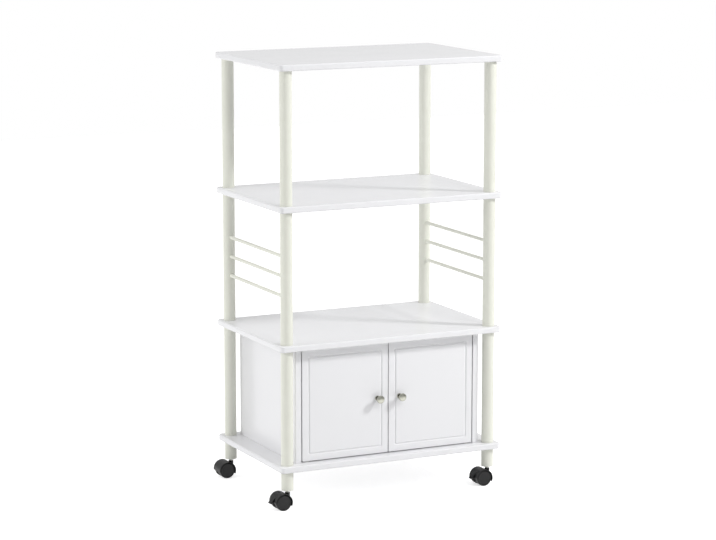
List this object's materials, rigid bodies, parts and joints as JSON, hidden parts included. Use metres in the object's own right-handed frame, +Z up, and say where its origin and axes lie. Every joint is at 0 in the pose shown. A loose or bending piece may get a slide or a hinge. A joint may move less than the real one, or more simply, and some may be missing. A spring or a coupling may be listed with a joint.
{
  "type": "microwave cart",
  "caption": "Tall open kitchen trolley with lacquered boards on round tubes, side rails, a two-door base cabinet and braked twin-wheel casters.",
  "frame": {"origin": "on the floor, midway between the four posts", "axes": "+X to the cart's right seen from the front, +Y from the doors to the back, +Z up"},
  "size_m": [0.6239, 0.4, 1.08],
  "materials": {
    "white_lacquer": "gloss lacquer on board",
    "ivory_powder_coat": "satin powder coat",
    "satin_nickel": "satin",
    "zinc_plate": "bright zinc plate",
    "white_nylon": "moulded",
    "black_nylon": "satin moulded",
    "black_ferrite": "sintered",
    "beech": "raw"
  },
  "bodies": {
    "cart": {"top_board": "white_lacquer", "oven_board": "white_lacquer", "cabinet_top_board": "white_lacquer", "bottom_board": "white_lacquer", "front_left_upper_post": "ivory_powder_coat", "front_right_upper_post": "ivory_powder_coat", "rear_left_upper_post": "ivory_powder_coat", "rear_right_upper_post": "ivory_powder_coat", "front_left_middle_post": "ivory_powder_coat", "front_right_middle_post": "ivory_powder_coat", "rear_left_middle_post": "ivory_powder_coat", "rear_right_middle_post": "ivory_powder_coat", "front_left_lower_post": "ivory_powder_coat", "front_right_lower_post": "ivory_powder_coat", "rear_left_lower_post": "ivory_powder_coat", "rear_right_lower_post": "ivory_powder_coat", "front_left_foot": "ivory_powder_coat", "front_right_foot": "ivory_powder_coat", "rear_left_foot": "ivory_powder_coat", "rear_right_foot": "ivory_powder_coat", "left_rails": "ivory_powder_coat", "right_rails": "ivory_powder_coat", "board_studs": "zinc_plate", "post_inserts": "zinc_plate", "top_sleeves": "zinc_plate", "caster_sockets": "white_nylon", "caster_stems": "zinc_plate", "left_panel": "white_lacquer", "right_panel": "white_lacquer", "back_panel": "white_lacquer", "dowels": "beech", "cam_bolts": "zinc_plate", "cam_locks": "zinc_plate", "pivot_bushes": "white_nylon", "magnetic_catch": "white_nylon", "catch_magnets": "black_ferrite"},
    "left_leaf": {"left_door": "white_lacquer", "left_door_pivots": "zinc_plate", "left_knob": "satin_nickel", "left_knob_screw": "zinc_plate", "left_strike": "zinc_plate"},
    "right_leaf": {"right_door": "white_lacquer", "right_door_pivots": "zinc_plate", "right_knob": "satin_nickel", "right_knob_screw": "zinc_plate", "right_strike": "zinc_plate"},
    "front_left_swivel": {"front_left_hood": "black_nylon"},
    "front_left_wheel_set": {"front_left_wheels": "black_nylon", "front_left_axle": "zinc_plate"},
    "front_left_brake": {"front_left_brake_lever": "black_nylon"},
    "front_right_swivel": {"front_right_hood": "black_nylon"},
    "front_right_wheel_set": {"front_right_wheels": "black_nylon", "front_right_axle": "zinc_plate"},
    "front_right_brake": {"front_right_brake_lever": "black_nylon"},
    "rear_left_swivel": {"rear_left_hood": "black_nylon"},
    "rear_left_wheel_set": {"rear_left_wheels": "black_nylon", "rear_left_axle": "zinc_plate"},
    "rear_right_swivel": {"rear_right_hood": "black_nylon"},
    "rear_right_wheel_set": {"rear_right_wheels": "black_nylon", "rear_right_axle": "zinc_plate"}
  },
  "joints": [
    {"name": "left_door_swing", "type": "hinge", "parent": "cart", "child": "left_leaf", "pos_m": [-0.2185, -0.1625, 0.2495], "axis": [0, 0, -1], "range_deg": [0, 110]},
    {"name": "right_door_swing", "type": "hinge", "parent": "cart", "child": "right_leaf", "pos_m": [0.2185, -0.1625, 0.2495], "axis": [0, 0, 1], "range_deg": [0, 110]},
    {"name": "front_left_caster_swivel", "type": "hinge", "parent": "cart", "child": "front_left_swivel", "pos_m": [-0.275, -0.175, 0.04], "axis": [0, 0, 1], "continuous": true},
    {"name": "front_left_wheels_roll", "type": "hinge", "parent": "front_left_swivel", "child": "front_left_wheel_set", "pos_m": [-0.292, -0.175, 0.02], "axis": [0, 1, 0], "continuous": true},
    {"name": "front_left_brake_press", "type": "hinge", "parent": "front_left_swivel", "child": "front_left_brake", "pos_m": [-0.3045, -0.175, 0.0275], "axis": [0, -1, 0], "range_deg": [0, 14]},
    {"name": "front_right_caster_swivel", "type": "hinge", "parent": "cart", "child": "front_right_swivel", "pos_m": [0.275, -0.175, 0.04], "axis": [0, 0, 1], "continuous": true},
    {"name": "front_right_wheels_roll", "type": "hinge", "parent": "front_right_swivel", "child": "front_right_wheel_set", "pos_m": [0.258, -0.175, 0.02], "axis": [0, 1, 0], "continuous": true},
    {"name": "front_right_brake_press", "type": "hinge", "parent": "front_right_swivel", "child": "front_right_brake", "pos_m": [0.2455, -0.175, 0.0275], "axis": [0, -1, 0], "range_deg": [0, 14]},
    {"name": "rear_left_caster_swivel", "type": "hinge", "parent": "cart", "child": "rear_left_swivel", "pos_m": [-0.275, 0.175, 0.04], "axis": [0, 0, 1], "continuous": true},
    {"name": "rear_left_wheels_roll", "type": "hinge", "parent": "rear_left_swivel", "child": "rear_left_wheel_set", "pos_m": [-0.292, 0.175, 0.02], "axis": [0, 1, 0], "continuous": true},
    {"name": "rear_right_caster_swivel", "type": "hinge", "parent": "cart", "child": "rear_right_swivel", "pos_m": [0.275, 0.175, 0.04], "axis": [0, 0, 1], "continuous": true},
    {"name": "rear_right_wheels_roll", "type": "hinge", "parent": "rear_right_swivel", "child": "rear_right_wheel_set", "pos_m": [0.258, 0.175, 0.02], "axis": [0, 1, 0], "continuous": true}
  ]
}
